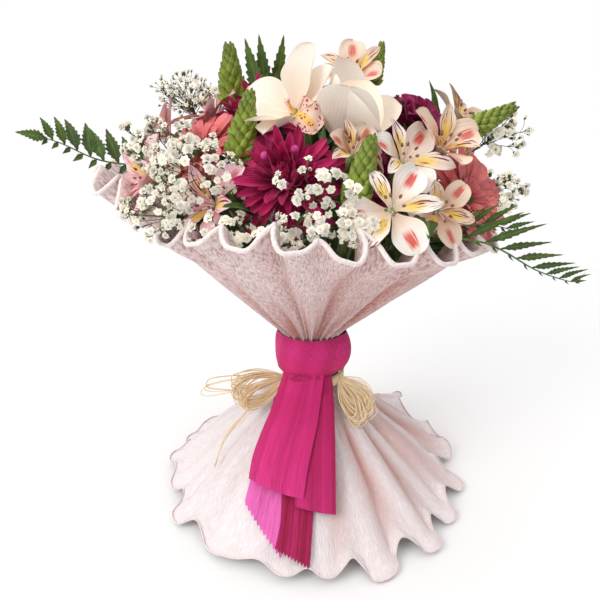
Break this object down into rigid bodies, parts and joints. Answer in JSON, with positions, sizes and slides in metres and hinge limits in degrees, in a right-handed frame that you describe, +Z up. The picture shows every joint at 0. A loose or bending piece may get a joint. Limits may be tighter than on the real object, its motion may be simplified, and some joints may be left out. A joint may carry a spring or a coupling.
{
  "type": "mixed flower bouquet",
  "caption": "Mixed bouquet of orchids, chrysanthemums, carnations, gerberas, lilies and gypsophila in a waisted crepe paper wrap with a ribbon and raffia tie.",
  "frame": {"origin": "cut end of the middle stem, on the surface that the bouquet stands on, in the middle of the whole width and depth", "axes": "+Z up through the tie, -Y towards the front with the ribbon, +X to the right seen from the front"},
  "size_m": [0.4151, 0.3172, 0.4036],
  "materials": {
    "paper": "matt creased crepe paper, pale pink",
    "ribbon": "matt crepe ribbon, magenta",
    "raffia": "matt straw raffia strands",
    "string": "matt twisted string",
    "stem": "satin green stems",
    "ivory": "satin waxy petals, ivory",
    "magenta": "matt petals, magenta",
    "crimson": "matt petals, dark crimson",
    "coral": "matt petals, coral",
    "blush": "satin petals, white and peach",
    "pink": "satin petals, pink",
    "lime": "satin closed buds, lime green",
    "white": "matt tiny double florets, white",
    "fern": "satin leaves and fronds, dark green"
  },
  "bodies": {
    "root": {"paper_wrap": "paper", "ribbon_band": "ribbon", "ribbon_bow": "ribbon", "raffia_bow": "raffia", "binding_string": "string", "stem_bundle": "stem", "cymbidium_left": "ivory", "cymbidium_right": "ivory", "chrysanthemum_front": "magenta", "chrysanthemum_rear": "magenta", "chrysanthemum_back": "magenta", "carnation_right": "crimson", "carnation_low": "crimson", "carnation_back": "crimson", "gerbera_right": "coral", "gerbera_left": "coral", "gerbera_back": "coral", "alstroemeria_front": "blush", "alstroemeria_middle": "blush", "alstroemeria_upper_right": "blush", "alstroemeria_lower_right": "blush", "alstroemeria_far_right": "blush", "alstroemeria_top": "blush", "alstroemeria_peach": "blush", "alstroemeria_back": "blush", "alstroemeria_back_left": "blush", "alstroemeria_pink_upper": "pink", "alstroemeria_pink_left": "pink", "alstroemeria_yellow_left": "pink", "alstroemeria_pink_lower": "pink", "alstroemeria_back_top": "pink", "alstroemeria_side_left": "pink", "alstroemeria_side_right": "pink", "ornithogalum_rear_left": "lime", "ornithogalum_left": "lime", "ornithogalum_front": "lime", "ornithogalum_top": "lime", "ornithogalum_right": "lime", "ornithogalum_back": "lime", "gypsophila_upper_left": "white", "gypsophila_left": "white", "gypsophila_mid_left": "white", "gypsophila_low_left": "white", "gypsophila_middle": "white", "gypsophila_front": "white", "gypsophila_upper_right": "white", "gypsophila_lower_right": "white", "gypsophila_back": "white", "fern_left": "fern", "fern_right_long": "fern", "fern_right_upper": "fern", "fern_top_left": "fern", "fern_top_middle": "fern", "fern_top_right": "fern", "fern_back_left": "fern", "fern_back_right": "fern", "leaf_right": "fern", "leaf_front": "fern", "leaf_left": "fern", "leaf_back": "fern"}
  },
  "joints": []
}
